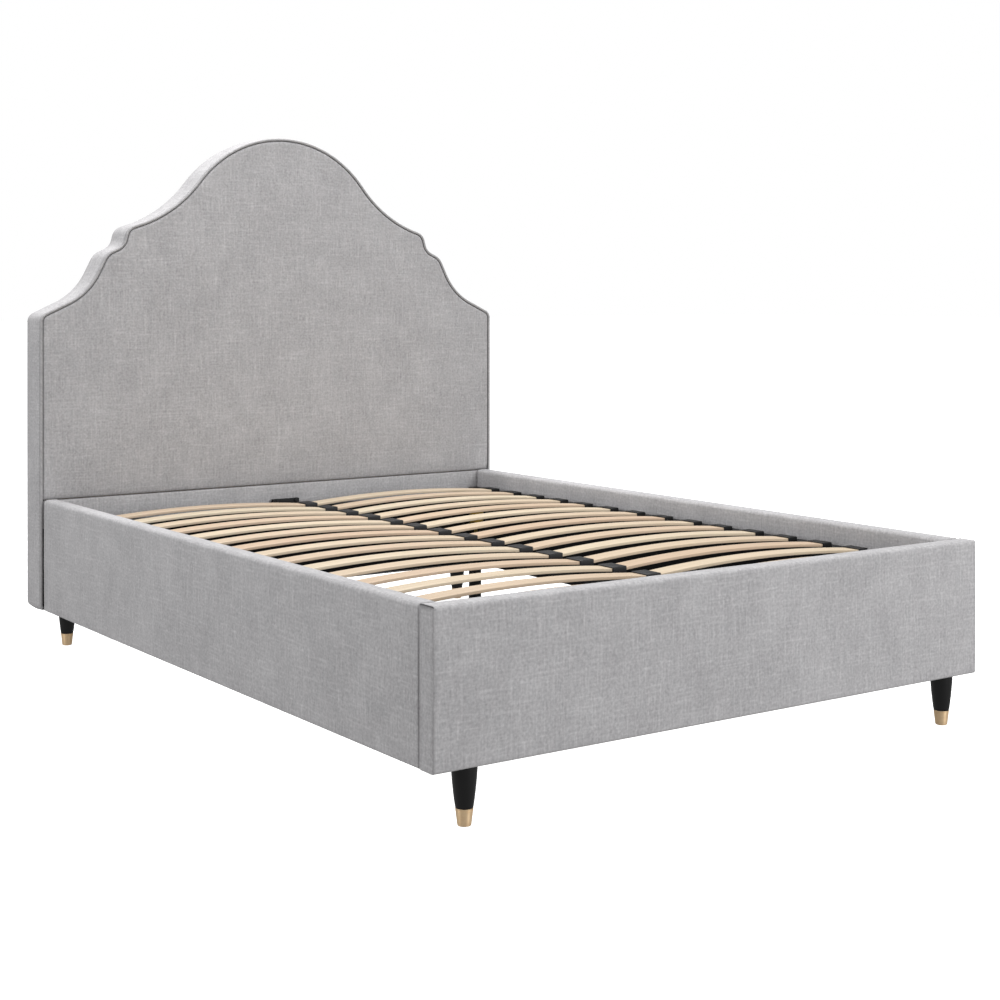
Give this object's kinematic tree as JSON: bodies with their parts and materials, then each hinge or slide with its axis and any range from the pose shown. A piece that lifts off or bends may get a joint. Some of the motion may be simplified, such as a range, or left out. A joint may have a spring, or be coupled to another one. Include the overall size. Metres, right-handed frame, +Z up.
{
  "type": "upholstered bed",
  "caption": "Upholstered double bed frame with an arched, stepped and piped headboard, low padded rails, sprung bowed slats on a steel frame and tapered legs with brass ferrules.",
  "frame": {"origin": "on the floor, under the middle of the bed's overall footprint", "axes": "+X to the right seen from the foot end, +Y from the footboard to the headboard, +Z up"},
  "size_m": [1.64, 2.23, 1.568],
  "materials": {
    "linen": "woven light grey linen-look polyester, matt",
    "piping": "bias-cut piping in the same cloth, read darker in its seam",
    "pine": "planed softwood",
    "plywood": "sawn plywood",
    "beech": "laminated bent slat, clear satin lacquer",
    "black_steel": "black powder coat",
    "black_wood": "turned hardwood, satin black lacquer",
    "brass": "brushed, slightly pink gold",
    "zinc": "yellow passivated zinc plate",
    "holder_plastic": "moulded dark grey nylon",
    "dust_cloth": "black non-woven lining"
  },
  "bodies": {
    "root": {"corner_bracket_left": "zinc", "corner_bracket_right": "zinc", "footboard_board": "plywood", "footboard_cover": "linen", "headboard_back_panel": "linen", "headboard_border": "linen", "headboard_front_board": "plywood", "headboard_lower_panel": "linen", "headboard_pad": "linen", "headboard_piping": "piping", "headboard_post_left": "pine", "headboard_post_right": "pine", "leg_ferrule_front_left": "brass", "leg_ferrule_front_right": "brass", "leg_ferrule_rear_left": "brass", "leg_ferrule_rear_right": "brass", "leg_front_left": "black_wood", "leg_front_right": "black_wood", "leg_rear_left": "black_wood", "leg_rear_right": "black_wood", "side_rail_board_left": "plywood", "side_rail_board_right": "plywood", "side_rail_cover_left": "linen", "side_rail_cover_right": "linen", "slat_bar_centre": "black_steel", "slat_bar_left": "black_steel", "slat_bar_right": "black_steel", "slat_frame_foot_bar": "black_steel", "slat_frame_head_bar": "black_steel", "slat_left_01": "beech", "slat_left_02": "beech", "slat_left_03": "beech", "slat_left_04": "beech", "slat_left_05": "beech", "slat_left_06": "beech", "slat_left_07": "beech", "slat_left_08": "beech", "slat_left_09": "beech", "slat_left_10": "beech", "slat_left_11": "beech", "slat_left_12": "beech", "slat_left_13": "beech", "slat_left_14": "beech", "slat_left_15": "beech", "slat_right_01": "beech", "slat_right_02": "beech", "slat_right_03": "beech", "slat_right_04": "beech", "slat_right_05": "beech", "slat_right_06": "beech", "slat_right_07": "beech", "slat_right_08": "beech", "slat_right_09": "beech", "slat_right_10": "beech", "slat_right_11": "beech", "slat_right_12": "beech", "slat_right_13": "beech", "slat_right_14": "beech", "slat_right_15": "beech", "support_leg": "black_steel"}
  },
  "joints": []
}
